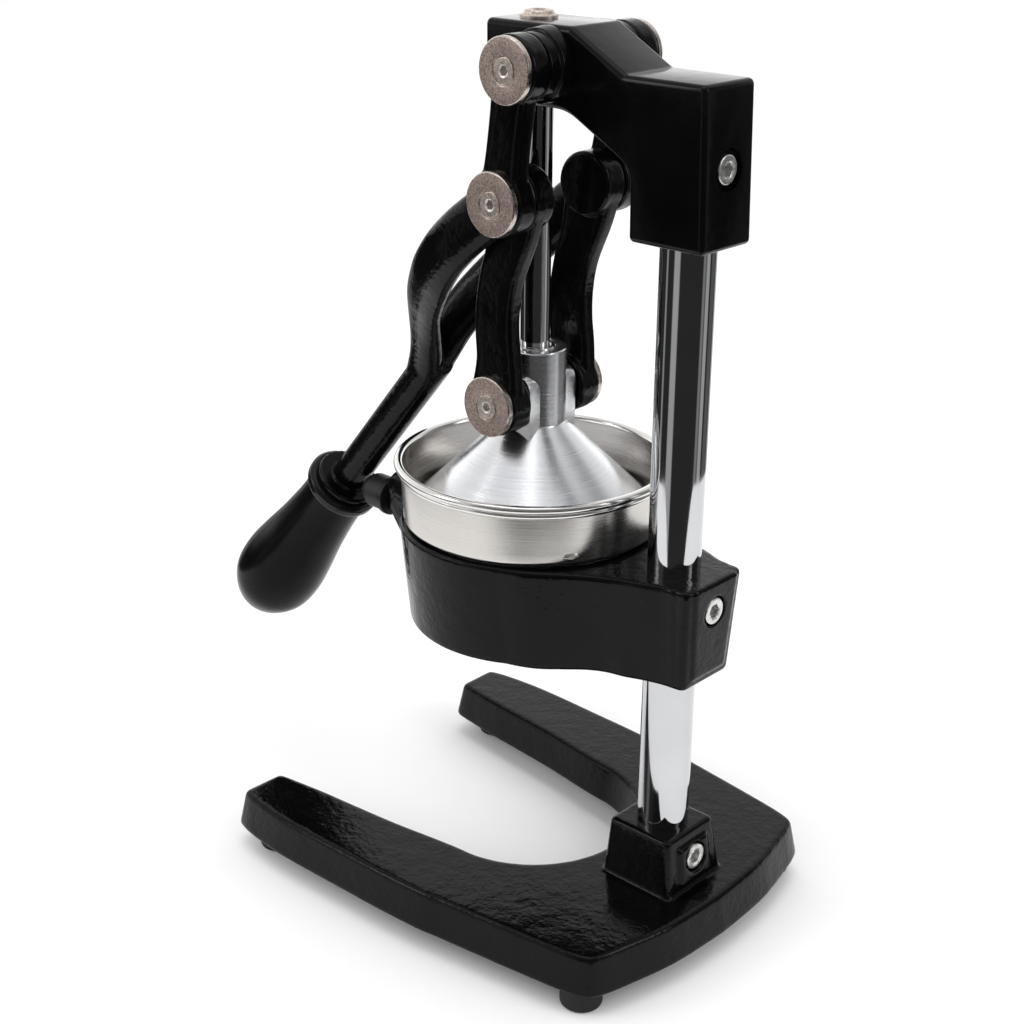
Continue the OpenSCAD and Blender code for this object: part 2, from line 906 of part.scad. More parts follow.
module link_right() {
    color("#1b1b1d")
        on_base()
            mirror([1, 0, 0])
                link_body();
}

module link_right_pin() {
    color("#9a948c")
        on_base()
            mirror([1, 0, 0])
                link_pin();
}

module link_right_washer() {
    color("#8d867d")
        on_base()
            mirror([1, 0, 0])
                translate([0, y_c, z_c])
                    washer(x_link_out, 33.8);
}

module link_right_screw() {
    color("#a09a92")
        on_base()
            mirror([1, 0, 0])
                translate([0, y_c, z_c])
                    pivot_screw(33.8);
}

base();
rubber_feet();
foot_screws();
column();
base_bolt();
cup_holder();
holder_bolt();
bumper_stud();
bumper_cap();
juice_bowl();
funnel();
strainer_cone();
head();
head_bolt();
guide_rod();
rod_screw();
head_pins();
head_washers();
head_pin_screws();
press_cone();
hub_bush();
lever();
grip_ferrule();
grip();
grip_stud();
lever_pins();
lever_washers();
lever_pin_screws();
link_left();
link_left_pin();
link_left_washer();
link_left_screw();
link_right();
link_right_pin();
link_right_washer();
link_right_screw();
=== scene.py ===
"""Citrus press juicer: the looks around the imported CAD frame.

Lengths are in millimetres, measured from the column's axis at the foot's top face, with -Y
towards the handle. pt() turns them into metres in the row frame.
"""

import math

import bmesh
import bpy
from mathutils import Matrix, Vector


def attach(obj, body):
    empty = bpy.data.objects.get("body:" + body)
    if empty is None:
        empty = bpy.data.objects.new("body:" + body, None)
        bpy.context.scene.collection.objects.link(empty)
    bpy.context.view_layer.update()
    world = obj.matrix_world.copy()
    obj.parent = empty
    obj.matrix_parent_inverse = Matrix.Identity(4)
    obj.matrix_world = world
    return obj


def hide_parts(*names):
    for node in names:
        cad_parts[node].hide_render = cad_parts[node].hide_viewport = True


# Driving dimensions. A pivot or a bolt is (y, z); its axis runs across, or back for a bolt.
COLUMN_Y = 136.26  # back from the middle of the footprint to the column's axis
FLOOR_TO_TOP = 31.0  # up from the floor to the foot's top face
COLUMN_R = 12.5
COLUMN_TOP = 378
PRESS_Y = -88.0  # axis of the press cone, bowl and guide rod
ROD_R = 7.1
HOLDER_LOW = 112
HOLDER_TOP = 164
HEAD_TOP = 403
PIVOT_A = (-67.5, 386.1)  # lever to head
PIVOT_B = (-75.3, 328.0)  # lever to links
PIVOT_C = (-88.0, 229.0)  # links to press cone
EYE_R = 15
LINK_X = (18, 30.7)  # faces of a link's eyes
LEVER_X = (31, 42.3)  # faces of the lever's eyes
ARM_X = 36.65  # middle of the lever's arm at its pivots
ARM_HALF = 5.65
WASHER_X = 45.2  # outer face of the lever's washers
BASE_BOLT = (17.8, 15.5)
HOLDER_BOLT = (21.2, 149)
HEAD_BOLT = (14.6, 350)
SHAFT = Vector((0, -163.2, 220.4))
SHAFT_SLOPE = math.radians(50)
SHAFT_DIR = Vector((0, -math.cos(SHAFT_SLOPE), -math.sin(SHAFT_SLOPE)))
ACROSS = (1, 0, 0)
BACK = (0, 1, 0)
FRONT = (0, -1, 0)
UP = (0, 0, 1)
PRESS_AXIS = (0, PRESS_Y, 0)

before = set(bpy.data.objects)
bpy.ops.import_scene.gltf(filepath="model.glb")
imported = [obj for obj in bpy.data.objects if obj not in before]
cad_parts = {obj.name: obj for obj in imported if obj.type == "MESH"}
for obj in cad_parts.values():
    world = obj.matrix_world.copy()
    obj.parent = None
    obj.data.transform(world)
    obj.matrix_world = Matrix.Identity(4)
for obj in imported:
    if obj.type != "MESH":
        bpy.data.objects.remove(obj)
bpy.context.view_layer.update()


def pt(v):
    """A point of this script, in metres in the row frame."""
    return Vector((v[0] / 1000, (v[1] + COLUMN_Y) / 1000, (v[2] + FLOOR_TO_TOP) / 1000))


def add(name, data):
    obj = bpy.data.objects.new(name, data)
    bpy.context.scene.collection.objects.link(obj)
    return obj


# ---------------------------------------------------------------- materials


class Tree:
    """A small helper around a node tree."""

    def __init__(self, tree):
        self.tree = tree

    def new(self, kind, **values):
        n = self.tree.nodes.new(kind)
        for key, value in values.items():
            setattr(n, key, value)
        return n

    def link(self, a, b):
        self.tree.links.new(a, b)

    def math(self, op, a, b=None):
        n = self.new("ShaderNodeMath", operation=op)
        for i, v in enumerate((a, b)):
            if isinstance(v, (int, float)):
                n.inputs[i].default_value = v
            elif v is not None:
                self.link(v, n.inputs[i])
        return n.outputs[0]

    def mix(self, fac, a, b):
        """From colour a to colour b, each a tuple or an output."""
        n = self.new("ShaderNodeMix", data_type="RGBA")
        self.link(fac, n.inputs[0])
        for i, c in ((6, a), (7, b)):
            if isinstance(c, tuple):
                n.inputs[i].default_value = (*c, 1)
            else:
                self.link(c, n.inputs[i])
        return n.outputs[2]


class Nodes(Tree):
    """One material's nodes, in the object's coordinates."""

    def __init__(self, name):
        self.mat = bpy.data.materials.new(name)
        self.mat.use_nodes = True
        super().__init__(self.mat.node_tree)
        self.bsdf = self.tree.nodes["Principled BSDF"]
        self.coord = self.tree.nodes.new("ShaderNodeTexCoord").outputs["Object"]

    def noise(self, scale, detail=2.0, vector=None, rough=0.5):
        n = self.new("ShaderNodeTexNoise")
        n.inputs["Scale"].default_value = scale
        n.inputs["Detail"].default_value = detail
        n.inputs["Roughness"].default_value = rough
        self.link(vector or self.coord, n.inputs["Vector"])
        return n.outputs["Fac"]

    def mapped(self, value, low, high, out_low, out_high):
        n = self.new("ShaderNodeMapRange")
        self.link(value, n.inputs["Value"])
        n.inputs["From Min"].default_value = low
        n.inputs["From Max"].default_value = high
        n.inputs["To Min"].default_value = out_low
        n.inputs["To Max"].default_value = out_high
        return n.outputs["Result"]

    def bump(self, height, strength, distance, normal=None):
        n = self.new("ShaderNodeBump")
        n.inputs["Strength"].default_value = strength
        n.inputs["Distance"].default_value = distance
        self.link(height, n.inputs["Height"])
        if normal is not None:
            self.link(normal, n.inputs["Normal"])
        return n.outputs["Normal"]

    def lathe(self, centre, around, across):
        """Coordinates that run round an upright axis, for turning and polishing marks."""
        offset = self.new("ShaderNodeVectorMath", operation="SUBTRACT")
        self.link(self.coord, offset.inputs[0])
        offset.inputs[1].default_value = centre
        split = self.new("ShaderNodeSeparateXYZ")
        self.link(offset.outputs[0], split.inputs[0])
        x, y, height = split.outputs
        angle = self.math("ARCTAN2", x, y)
        squares = self.math("ADD", self.math("MULTIPLY", x, x), self.math("MULTIPLY", y, y))
        radius = self.math("SQRT", squares)
        join = self.new("ShaderNodeCombineXYZ")
        for i, (value, scale) in enumerate(((angle, around), (radius, across), (height, across))):
            self.link(self.math("MULTIPLY", value, scale), join.inputs[i])
        return join.outputs[0]

    def set(self, base=None, metallic=None, rough=None, normal=None, **others):
        main = {"Base Color": base, "Metallic": metallic, "Roughness": rough, "Normal": normal}
        for key, value in main.items():
            if isinstance(value, tuple):
                self.bsdf.inputs[key].default_value = (*value, 1)
            elif isinstance(value, (int, float)):
                self.bsdf.inputs[key].default_value = value
            elif value is not None:
                self.link(value, self.bsdf.inputs[key])
        for key, value in others.items():
            self.bsdf.inputs[key.replace("_", " ")].default_value = value
        return self.mat


def enamel(name, peel, wave, rough, seed):
    """Black enamel on a casting: a fine peel and pits over a slow wave, both depths in metres."""
    n = Nodes(name)
    shift = n.new("ShaderNodeVectorMath", operation="ADD")
    n.link(n.coord, shift.inputs[0])
    shift.inputs[1].default_value = (seed, seed * 0.7, seed * 1.3)
    v = shift.outputs[0]
    slow = n.noise(120, 1.5, v)
    grain = n.noise(560, 2.2, v, 0.55)
    cells = n.new("ShaderNodeTexVoronoi", feature="SMOOTH_F1")
    cells.inputs["Scale"].default_value = 330
    n.link(v, cells.inputs["Vector"])
    first = n.bump(slow, 1.0, wave)
    second = n.bump(cells.outputs["Distance"], 1.0, peel * 0.8, first)
    third = n.bump(grain, 1.0, peel, second)
    patches = n.mapped(n.noise(35, 3, v), 0.35, 0.7, 0, 1)
    base = n.mix(patches, (0.0012, 0.0012, 0.0015), (0.0024, 0.0024, 0.0028))
    roughness = n.mapped(n.noise(55, 3, v), 0.3, 0.7, rough * 0.8, rough * 1.25)
    return n.set(base, 0.0, roughness, third, IOR=1.5, Specular_IOR_Level=0.155)


def chrome(name, centre):
    """Bright chrome with faint polishing marks round an upright axis."""
    n = Nodes(name)
    v = n.lathe(centre, 6, 60)
    rough = n.mapped(n.noise(1.0, 3, v), 0.3, 0.75, 0.035, 0.085)
    base = n.mix(n.mapped(n.noise(18, 2), 0.35, 0.7, 0, 1), (0.57, 0.575, 0.59), (0.64, 0.645, 0.66))
    return n.set(base, 1.0, rough, n.bump(n.noise(90, 1), 0.3, 0.00004))


def brushed(name, centre, dark, light, rough, depth=0.00003, across=2600, around=1.6):
    """Satin metal with fine marks round an upright axis."""
    n = Nodes(name)
    v = n.lathe(centre, around, across)
    lines = n.noise(1.0, 4, v, 0.65)
    broad = n.noise(0.035, 2, v)
    fac = n.math("ADD", n.math("MULTIPLY", lines, 0.6), n.math("MULTIPLY", broad, 0.4))
    base = n.mix(n.mapped(fac, 0.32, 0.68, 0, 1), dark, light)
    roughness = n.mapped(lines, 0.3, 0.7, rough * 0.85, rough * 1.15)
    return n.set(base, 1.0, roughness, n.bump(lines, 0.7, depth))


def grained_steel(name, dark, light, rough, scale, depth=0.00009):
    """Plain metal with an even grain, from dark to light."""
    n = Nodes(name)
    grain = n.noise(scale, 3, rough=0.7)
    base = n.mix(n.mapped(grain, 0.36, 0.64, 0, 1), dark, light)
    roughness = n.mapped(grain, 0.3, 0.7, rough * 0.85, rough * 1.15)
    return n.set(base, 1.0, roughness, n.bump(grain, 0.8, depth))


def plastic(name, base, rough, peel, spec=0.25):
    """Moulded plastic, rubber or oxide black, with a fine peel."""
    n = Nodes(name)
    fine = n.noise(900, 2)
    slow = n.noise(40, 2)
    lighter = tuple(c * 1.35 for c in base)
    return n.set(
        n.mix(n.mapped(slow, 0.35, 0.65, 0, 1), base, lighter),
        0.0,
        n.mapped(slow, 0.3, 0.7, rough * 0.88, rough * 1.12),
        n.bump(fine, 0.6, peel),
        IOR=1.5,
        Specular_IOR_Level=spec,
    )


BOWL_CENTRE = tuple(pt(PRESS_AXIS))
ENAMEL = enamel("black_enamel_cast", 0.00013, 0.00030, 0.14, 0.0)
ENAMEL_HEAD = enamel("black_enamel_smooth", 0.00002, 0.00009, 0.13, 3.1)
CHROME = chrome("chrome_column", tuple(pt((0, 0, 0))))
CHROME_ROD = chrome("chrome_rod", BOWL_CENTRE)
STEEL_BOWL = brushed("satin_stainless", BOWL_CENTRE, (0.63, 0.608, 0.58), (0.675, 0.653, 0.626), 0.25,
                     0.00001)
STEEL_RIM = brushed("polished_rim", BOWL_CENTRE, (0.68, 0.67, 0.65), (0.80, 0.79, 0.77), 0.14)
ALUMINIUM = brushed("turned_aluminium", BOWL_CENTRE, (0.76, 0.77, 0.79), (0.90, 0.905, 0.92), 0.24,
                    0.00005, 1500, 1.2)
WASHER = grained_steel("washer_face", (0.25, 0.195, 0.17), (0.66, 0.525, 0.475), 0.44, 1400)
WASHER_EDGE = grained_steel("washer_edge", (0.48, 0.42, 0.38), (0.68, 0.61, 0.56), 0.25, 700, 0.00002)
SCREW = grained_steel("pivot_screw", (0.42, 0.355, 0.315), (0.76, 0.665, 0.60), 0.4, 900, 0.00003)
# Painted highlight: the screws' hexagon sockets are the same steel as the screw, coloured near white so that
# they look lit
HEX_SOCKET_PAINTED_HIGHLIGHT = grained_steel("screw_hexagon_painted_highlight", (0.88, 0.85, 0.82), (0.95, 0.93, 0.90), 0.5, 700, 0.00002)
ZINC = grained_steel("zinc_plate", (0.60, 0.60, 0.58), (0.76, 0.755, 0.73), 0.3, 700)
RUBBER = plastic("black_rubber", (0.010, 0.010, 0.0105), 0.62, 0.00006)
BUMPER = plastic("grey_rubber", (0.014, 0.0135, 0.015), 0.42, 0.00004)
GRIP = plastic("grip_plastic", (0.0022, 0.0021, 0.0022), 0.19, 0.00001, 0.085)
FERRULE = plastic("dark_gloss", (0.004, 0.004, 0.0042), 0.13, 0.00001)
STUD = plastic("black_oxide", (0.008, 0.008, 0.0085), 0.3, 0.00002)

# ---------------------------------------------------------------- meshes


def catmull_rom(a, b, c, d, t):
    return [
        0.5 * (2 * q + (r - p) * t + (2 * p - 5 * q + 4 * r - s) * t * t + (3 * q - p - 3 * r + s) * t**3)
        for p, q, r, s in zip(a, b, c, d)
    ]


def spline(points, k):
    """Smooth curve through rows of numbers, k steps a span."""
    out, last = [], len(points) - 1
    for i in range(last):
        for j in range(k):
            before, after = points[max(i - 1, 0)], points[min(i + 2, last)]
            out.append(catmull_rom(before, points[i], points[i + 1], after, j / k))
    return out + [list(points[-1])]


def rounded(points, steps=5):
    """A profile of (r, h) or (r, h, radius): corners with a radius are rounded off."""
    out = []
    for i, p in enumerate(points):
        if len(p) < 3 or p[2] <= 0 or i in (0, len(points) - 1):
            out.append((p[0], p[1]))
            continue
        here = Vector(p[:2])
        a, b = Vector(points[i - 1][:2]) - here, Vector(points[i + 1][:2]) - here
        angle = max(a.angle(b), 0.05)
        t = min(p[2] / math.tan(angle / 2), a.length * 0.49, b.length * 0.49)
        start, end = here + a.normalized() * t, here + b.normalized() * t
        for k in range(steps + 1):
            f = k / steps
            q = start * (1 - f) ** 2 + here * 2 * f * (1 - f) + end * f * f
            out.append((q.x, q.y))
    return out


def revolve(profile, origin, direction, segs=96, loop=False):
    """Turned shape from a profile of (r, h) or (r, h, "hex"): its verts, faces and the band of each face.

    The profile runs from the axis to the axis, unless it is a loop.
    """
    axis = Vector(direction).normalized()
    side = Vector((0, 0, 1)).cross(axis)
    side = side.normalized() if side.length > 1e-6 else Vector((1, 0, 0))
    other = axis.cross(side)
    verts, rings = [], []
    for p in profile:
        here = Vector(origin) + axis * p[1]
        if p[0] < 1e-6:
            rings.append([len(verts)])
            verts.append(here)
            continue
        ring = []
        for i in range(segs):
            a = 2 * math.pi * i / segs
            r = p[0]
            if p[2:] == ("hex",):
                r *= math.cos(math.pi / 6) / math.cos(a % (math.pi / 3) - math.pi / 6)
            ring.append(len(verts))
            verts.append(here + side * (r * math.cos(a)) + other * (r * math.sin(a)))
        rings.append(ring)
    faces = []
    pairs = list(zip(rings, rings[1:])) + ([(rings[-1], rings[0])] if loop else [])
    bands = []
    for band, (a, b) in enumerate(pairs):
        for i in range(segs):
            j = (i + 1) % segs
            if len(a) == 1 and len(b) == 1:
                continue
            if len(a) == 1:
                faces.append((a[0], b[i], b[j]))
            elif len(b) == 1:
                faces.append((a[i], b[0], a[j]))
            else:
                faces.append((a[i], b[i], b[j], a[j]))
            bands.append(band)
    return verts, faces, bands


def loft(rings):
    """A closed skin over rings that have the same number of points."""
    n = len(rings[0])
    verts = [Vector(p) for r in rings for p in r]
    faces = [tuple(range(n)), tuple(range((len(rings) - 1) * n, len(rings) * n))]
    for j in range(len(rings) - 1):
        for i in range(n):
            k = (i + 1) % n
            faces.append((j * n + i, (j + 1) * n + i, (j + 1) * n + k, j * n + k))
    return verts, faces, [0] * len(faces)


def power(v, e):
    return math.copysign(abs(v) ** e, v)


def section(centre, u, v, n, e):
    """Superellipse with half-axes u and v: e = 1 is an ellipse, and smaller is squarer."""
    return [
        Vector(centre)
        + Vector(u) * power(math.cos(2 * math.pi * (i + 0.5) / n), e)
        + Vector(v) * power(math.sin(2 * math.pi * (i + 0.5) / n), e)
        for i in range(n)
    ]


def plate(x, y0, y1, r, z, n=6):
    """Rounded rectangle at height z."""
    out = []
    for q in range(4):
        sx, sy = (1 if q in (0, 3) else -1), (1 if q < 2 else -1)
        for i in range(n + 1):
            a = math.pi / 2 * (q + i / n)
            out.append(
                Vector((sx * (x - r) + r * math.cos(a), (y1 - r if sy > 0 else y0 + r) + r * math.sin(a), z))
            )
    return out


def mirrored(part):
    verts, faces, bands = part
    return [Vector((-v.x, v.y, v.z)) for v in verts], faces, bands


def to_mesh(name, parts):
    """Joins (verts, faces, bands) parts into one mesh in the row frame, normals outward."""
    verts, faces, bands = [], [], []
    for part in parts:
        at = len(verts)
        verts += [pt(v) for v in part[0]]
        faces += [tuple(i + at for i in f) for f in part[1]]
        bands += list(part[2])
    mesh = bpy.data.meshes.new(name)
    mesh.from_pydata(verts, [], faces)
    bm = bmesh.new()
    bm.from_mesh(mesh)
    bmesh.ops.recalc_face_normals(bm, faces=bm.faces)
    bm.to_mesh(mesh)
    bm.free()
    return mesh, bands


def bake_modifiers(obj):
    bpy.context.view_layer.update()
    graph = bpy.context.evaluated_depsgraph_get()
    mesh = bpy.data.meshes.new_from_object(obj.evaluated_get(graph))
    obj.modifiers.clear()
    obj.data = mesh
    return obj


def cutter(obj, parts):
    """Adds a boolean that takes the closed parts out of obj, and gives the tool to delete after the bake."""
    tool = add("cut", to_mesh("cut", parts)[0])
    m = obj.modifiers.new("cut", "BOOLEAN")
    m.operation = "DIFFERENCE"
    m.solver = "EXACT"
    m.object = tool
    return tool


def take_out(obj, parts):
    tool = cutter(obj, parts)
    bake_modifiers(obj)
    bpy.data.objects.remove(tool)


def remesh(obj, voxel, rounds):
    """Voxel union in millimetres, then rounds of smoothing that leave small fillets."""
    m = obj.modifiers.new("union", "REMESH")
    m.mode = "VOXEL"
    m.voxel_size = voxel / 1000
    m = obj.modifiers.new("soften", "SMOOTH")
    m.factor = 0.5
    m.iterations = rounds


def fused(name, parts, voxel, smooth, cut=(), again=None):
    """One casting from overlapping closed parts. With cuts, they are made between two voxel unions."""
    obj = add(name, to_mesh(name, parts)[0])
    remesh(obj, voxel, 0 if cut else smooth)
    bake_modifiers(obj)
    if cut:
        tools = [cutter(obj, [part]) for part in cut]
        remesh(obj, again, smooth)
        bake_modifiers(obj)
        for tool in tools:
            bpy.data.objects.remove(tool)
    obj.data.shade_smooth()
    return obj


def shade(obj, angle):
    """Smooth shading, with edges sharper than the angle kept."""
    obj.data.shade_smooth()
    obj.data.set_sharp_from_angle(angle=math.radians(angle))


def plain(name, parts, angle=32):
    """A piece of turned or drawn parts, which remembers the band of each face."""
    mesh, bands = to_mesh(name, parts)
    obj = add(name, mesh)
    shade(obj, angle)
    obj["bands"] = bands
    return obj


def dress(obj, body, nodes, materials, bright=()):
    """Gives a piece its body and materials. Faces of the bands in bright take the second material."""
    obj.data.materials.clear()
    for m in materials:
        obj.data.materials.append(m)
    if bright:
        for band, face in zip(list(obj["bands"]), obj.data.polygons):
            face.material_index = 1 if band in bright else 0
    if "bands" in obj:
        del obj["bands"]
    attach(obj, body)
    if nodes:
        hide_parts(*nodes)


# ---------------------------------------------------------------- foot


def foot():
    round_y = -86.3
    round_r = 55.8

    def arc(a):
        return round_r * math.cos(math.radians(a)), round_y + round_r * math.sin(math.radians(a))

    # Half of the plate from the toe to the heel: outer x and y, then inner x and y, with the round of the U
    rows = [
        (93.4, -207, 73.6, -206.7), (95.3, -206.2, 71.7, -205.8), (96.5, -203.8, 70.6, -203),
        (98.5, -195, 69.2, -194), (100.3, -176, 66.6, -175), (100.5, -156, 64.7, -155),
        (99.6, -127, 61.6, -126), (98.7, -98, 57.6, -100), (97, -72, *arc(0)),
    ]
    rows += [(97.2 - a * 0.155, -75 + a * 1.12, *arc(a)) for a in (12, 25, 38, 50)]
    rows += [
        (86, 4, *arc(62)), (83.6, 16, *arc(70)), (80.9, 22.4, *arc(75)), (75.5, 25.2, *arc(79)),
        (65.5, 28, *arc(82)), (35, 34.5, *arc(86)), (0, 36.7, 0, round_y + round_r),
    ]
    path = spline(rows, 6)
    last = len(path) - 1
    # The plate's edge from its underside to its top: how far out it stands, and its height
    edge = [(2.6, -20), (3.5, -19.7), (3.95, -18.9), (3.8, -18), (0.45, -2.6)]
    edge += [(0.3 - 2.3 * (1 - math.cos(a)), -2.2 + 2.2 * math.sin(a)) for a in (0.1, 0.5, 0.9, 1.25, 1.57)]

    def outward(i, side):
        a, b = path[max(i - 1, 0)], path[min(i + 1, last)]
        d = Vector((b[side] - a[side], b[side + 1] - a[side + 1])).normalized()
        return Vector((d.y, -d.x)) * (1 if side == 0 else -1)

    def ring(i, m):
        outer, inner = Vector(path[i][:2]), Vector(path[i][2:])
        u = Vector((0, -1)) if i == 0 else Vector((0, 1)) if i == last else outward(i, 0)
        v = Vector((0, -1)) if i in (0, last) else outward(i, 2)
        points = [(*(inner + v * k), z) for k, z in edge]
        points += [(*(outer + u * k), z) for k, z in reversed(edge)]
        return [(m * x, y, z) for x, y, z in points]

    near, far = [ring(i, 1) for i in range(last + 1)], [ring(i, -1) for i in range(last - 1, -1, -1)]
    verts, faces, _ = loft(near + far)
    # The ends are capped in strips, because one wide face would be concave
    n = 2 * len(edge)
    caps = []
    for first in (0, len(verts) - n):
        for i in range(len(edge) - 1):
            caps.append((first + i, first + i + 1, first + n - 2 - i, first + n - 1 - i))
    faces = caps + faces[2:]
    socket = loft([
        plate(23, -21, 22.5, 3, -5), plate(21.4, -20, 21.4, 3, 0.6), plate(18.1, -19.1, 17.6, 2.6, 27.6),
        plate(17.6, -18.6, 17.1, 2.4, 28.6), plate(16.6, -17.6, 16.1, 2.2, 29),
    ])
    pad = loft([plate(12, 10, 23.2, 2, 4), plate(11.4, 10, 20.4, 2, 23)])
    recess = bolt_recess(BASE_BOLT, 7.4, 8, 64)
    obj = fused("foot_casting", [(verts, faces, [0] * len(faces)), socket, pad], 0.8, 6, [recess], 0.75)
    dress(obj, "stand", ["base"], [ENAMEL])


def rubber_feet():
    profile = rounded([(0, 6), (5, 6), (5, 0), (10.2, 0, 2.8), (10.2, 11), (0, 11)])
    screw_profile = rounded([(0, 3.8), (2.4, 3.8, 0), (4.2, 3, 0.4), (4.2, 6), (0, 6)])
    places = [(m * x, y, -FLOOR_TO_TOP) for m in (-1, 1) for x, y in ((76, 14), (85.5, -192))]
    feet = [revolve(profile, place, UP, 64) for place in places]
    screws = [revolve(screw_profile, place, UP, 48) for place in places]
    dress(plain("rubber_foot_set", feet), "stand", ["rubber_feet"], [RUBBER])
    dress(plain("foot_screw_set", screws), "stand", ["foot_screws"], [ZINC])


def column_and_rod():
    profile = rounded([(0, -17), (COLUMN_R, -17, 0.6), (COLUMN_R, COLUMN_TOP, 0.6), (0, COLUMN_TOP)])
    column = revolve(profile, (0, 0, 0), UP, 160)
    dress(plain("column_bar", [column]), "stand", ["column"], [CHROME])
    rod = revolve(rounded([(0, 204), (ROD_R, 204, 1.3), (ROD_R, 394), (0, 394)]), PRESS_AXIS, UP, 128)
    dress(plain("guide_rod_bar", [rod]), "stand", ["guide_rod"], [CHROME_ROD])


def bolt_recess(bolt, r, depth, segs):
    return revolve([(0, 0), (r, 0), (r, depth), (0, depth)], (0, *bolt), BACK, segs)


def socket_bolts():
    """The three clamp bolts: how long each head is, and how much shank is behind it."""
    for name, bolt, length, shank in (
        ("base_bolt", BASE_BOLT, 3.6, 5.2),
        ("holder_bolt", HOLDER_BOLT, 3.2, 8.6),
        ("head_bolt", HEAD_BOLT, 4, 2),
    ):
        head = rounded([(0, -shank), (4, -shank), (4, 0), (6.5, 0), (6.5, length, 0.8), (3.9, length)])
        hexagon = [(3.5, length - 0.35, "hex"), (3.4, length - 3, "hex"), (0, length - 3.4)]
        part = revolve(head + hexagon, (0, *bolt), BACK, 96)
        dress(plain(name + "_cap", [part]), "stand", [name], [ZINC])


# ---------------------------------------------------------------- cup holder


def holder():
    low, top = HOLDER_LOW, HOLDER_TOP
    ring = revolve(rounded([(0, low), (61, low, 2.6), (66, top, 1.6), (0, top)], 6), PRESS_AXIS, UP, 180)
    # The neck by distance from the column: y, then its half-widths at the top and at the bottom
    rows = spline([
        (16, 21.6, 18.2), (10, 22.2, 18.8), (1, 25.8, 21.2), (-8.4, 29, 24.8), (-17, 33.2, 27),
        (-25, 38, 31.2), (-34, 44.6, 39), (-42, 50.6, 46), (-50, 55.4, 50.4), (-60, 59.4, 53.8),
    ], 5)

    def neck_ring(y, wide, narrow):
        right = [(narrow - k, low + rise) for k, rise in ((2.2, 0), (0.9, 0.4), (0.2, 1.2), (0, 2.4))]
        right += [(wide - k, top - drop) for k, drop in ((0, 2), (0.2, 0.9), (0.8, 0.2), (1.8, 0))]
        return [(x, y, z) for x, z in right] + [(-x, y, z) for x, z in reversed(right)]

    neck = loft([neck_ring(*r) for r in rows])
    block = loft([
        plate(16.4, -5, 20.1, 3, low), plate(17.4, -5, 21, 3.4, low + 0.6),
        plate(17.9, -5, 21.6, 3.4, low + 2), plate(21, -5, 23.9, 3.2, top - 1.6),
        plate(20.7, -5, 23.5, 3.2, top - 0.5), plate(19.7, -5, 22.5, 3, top),
    ])
    pad = loft([
        plate(13, 5, 22.9, 2, low + 5), plate(16.4, 5, 25.3, 2, top - 1.4), plate(15.8, 5, 24.5, 2, top),
    ])
    # The bumper's boss: y, half-width, and the heights of its underside and top
    boss_rows = spline([
        (-150, 14, 114, 165.6), (-160, 11.6, 117, 166), (-170, 9.6, 124, 166), (-178, 8.4, 133, 165.6),
        (-183, 7.6, 139, 163), (-186, 6.9, 140.4, 158),
    ], 4)
    boss = loft([
        section((0, y, (under + over) / 2), (half, 0, 0), (0, 0, (over - under) / 2), 24, 0.5)
        for y, half, under, over in boss_rows
    ])
    stem = revolve([(0, 0), (6.4, 0), (6.4, 31.2), (0, 31.2)], (0, -156, 146.1), FRONT, 48)
    cavity_profile = rounded([
        (0, 100), (53.8, 100), (60, top - 0.1, 0.8), (65.5, top - 0.1), (65.5, top + 6), (0, top + 6),
    ])
    cavity = revolve(cavity_profile, PRESS_AXIS, UP, 180)
    recess = bolt_recess(HOLDER_BOLT, 7.4, 6, 64)
    obj = fused("holder_casting", [ring, neck, block, pad, boss, stem], 0.8, 5, [cavity, recess], 0.7)
    dress(obj, "stand", ["cup_holder"], [ENAMEL])


def bumper():
    z = 147.3
    collar_profile = rounded([(0, 0), (10.5, 0, 0.8), (10.5, 3.4, 0.8), (0, 3.4)])
    collar = revolve(collar_profile, (0, -187.2, z), FRONT, 96)
    dress(plain("bumper_collar", [collar]), "stand", ["bumper_stud"], [STUD])
    end = 16.8
    cap = revolve(
        rounded([(0, 0.05), (9.3, 0.05, 0.7), (9.3, end - 6.2, 3), (6.9, end - 1.5, 3.4), (0, end)], 8),
        (0, -190.6, z), FRONT, 96,
    )
    dress(plain("bumper_cap_rubber", [cap]), "stand", ["bumper_cap"], [BUMPER])


# ---------------------------------------------------------------- bowl


def bowl():
    corner = 2.8
    seat = 164.35
    quarter = [j * math.pi / 16 for j in range(9)]
    outer = [(43, seat), (52, seat)]
    outer += [(61.1 + corner * math.sin(a), seat + corner - corner * math.cos(a)) for a in quarter]
    outer += [(64.0, 171), (64.2, 176), (64.4, 181), (64.6, 186), (64.7, 188.6)]
    thick = 1.1
    inner = []
    for i, p in enumerate(outer):
        a, b = Vector(outer[max(i - 1, 0)]), Vector(outer[min(i + 1, len(outer) - 1)])
        d = (b - a).normalized()
        inner.append((p[0] - d.y * thick, p[1] + d.x * thick))
    inner.reverse()
    bead = [tuple(p) for p in spline([
        (65.6, 189.0), (66.3, 189.7), (66.5, 190.8), (66.2, 191.6), (66.7, 192.0), (67.7, 192.6),
        (68.2, 193.9), (67.8, 195.1), (66.8, 195.8), (65.4, 195.8), (64.3, 195.3), (63.8, 194.4),
        (63.55, 193.0), (63.5, 190.8),
    ], 3)]
    part = revolve(outer + bead + inner, PRESS_AXIS, UP, 192, loop=True)
    rim = set(range(len(outer) - 1, len(outer) + len(bead) - 6))
    shell = plain("juice_bowl_shell", [part], 40)
    dress(shell, "bowl", ["juice_bowl"], [STEEL_BOWL, STEEL_RIM], rim)
    weld_mark()


